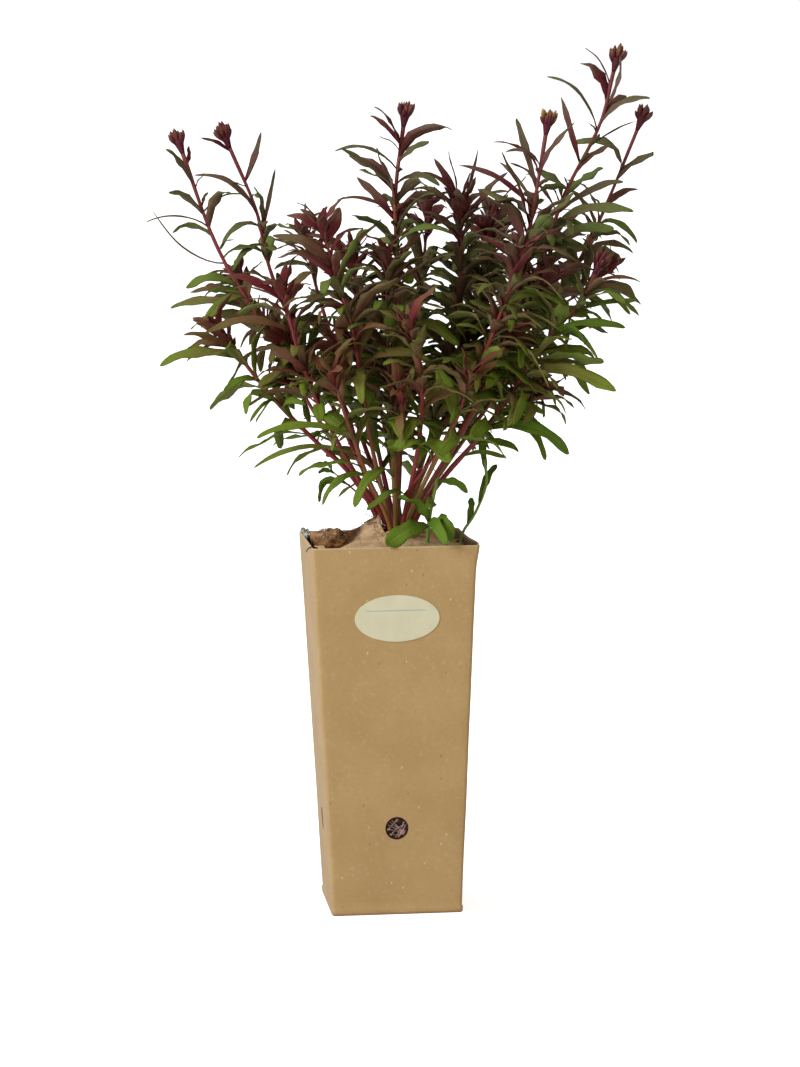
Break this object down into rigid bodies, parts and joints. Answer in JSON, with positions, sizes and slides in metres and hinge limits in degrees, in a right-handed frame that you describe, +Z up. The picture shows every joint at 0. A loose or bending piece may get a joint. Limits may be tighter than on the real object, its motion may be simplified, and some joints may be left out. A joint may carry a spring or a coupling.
{
  "type": "potted gaura plant",
  "caption": "Bushy leafy perennial with narrow wavy leaves and tight bud heads, in a tall square tapered board pot.",
  "frame": {"origin": "middle of the pot's foot, on the surface that it stands on", "axes": "+Z up; the pot's walls face along X and Y, and the wall with the label faces -Y"},
  "size_m": [0.28, 0.1944, 0.472],
  "materials": {
    "board": "uncoated brown solid board, faintly fibrous",
    "label": "smooth cream paper",
    "soil": "damp peat compost",
    "fibre": "coarse matted plant fibre",
    "straw": "dry straw",
    "root": "damp fine roots",
    "foliage": "matt leaf, green flushed with purple",
    "bud": "smooth red-brown buds"
  },
  "bodies": {
    "root": {"pot": "board", "label": "label", "root_ball": "soil", "soil_cover": "fibre", "straws": "straw", "drain_roots_front": "root", "drain_roots_right": "root", "drain_roots_back": "root", "drain_roots_left": "root", "stem_left_tall": "foliage", "buds_left_tall": "bud", "stem_left_second": "foliage", "buds_left_second": "bud", "stem_left_red": "foliage", "stem_left_outer": "foliage", "stem_left_back": "foliage", "stem_left_far": "foliage", "stem_purple": "foliage", "stem_front": "foliage", "stem_mid_tall": "foliage", "buds_mid_tall": "bud", "stem_mid_second": "foliage", "stem_back_red": "foliage", "buds_back_red": "bud", "stem_big_bud": "foliage", "buds_big_bud": "bud", "stem_right_tall": "foliage", "buds_right_tall": "bud", "stem_right_second": "foliage", "buds_right_second": "bud", "stem_right_red": "foliage", "buds_right_red": "bud", "stem_front_rosette": "foliage", "stem_front_left": "foliage", "stem_low_left": "foliage", "stem_right_rosette": "foliage", "stem_back_middle": "foliage", "stem_back_right": "foliage", "stem_back_far": "foliage", "stem_back_low": "foliage", "shoot_basal": "foliage", "shoot_corner": "foliage"}
  },
  "joints": []
}
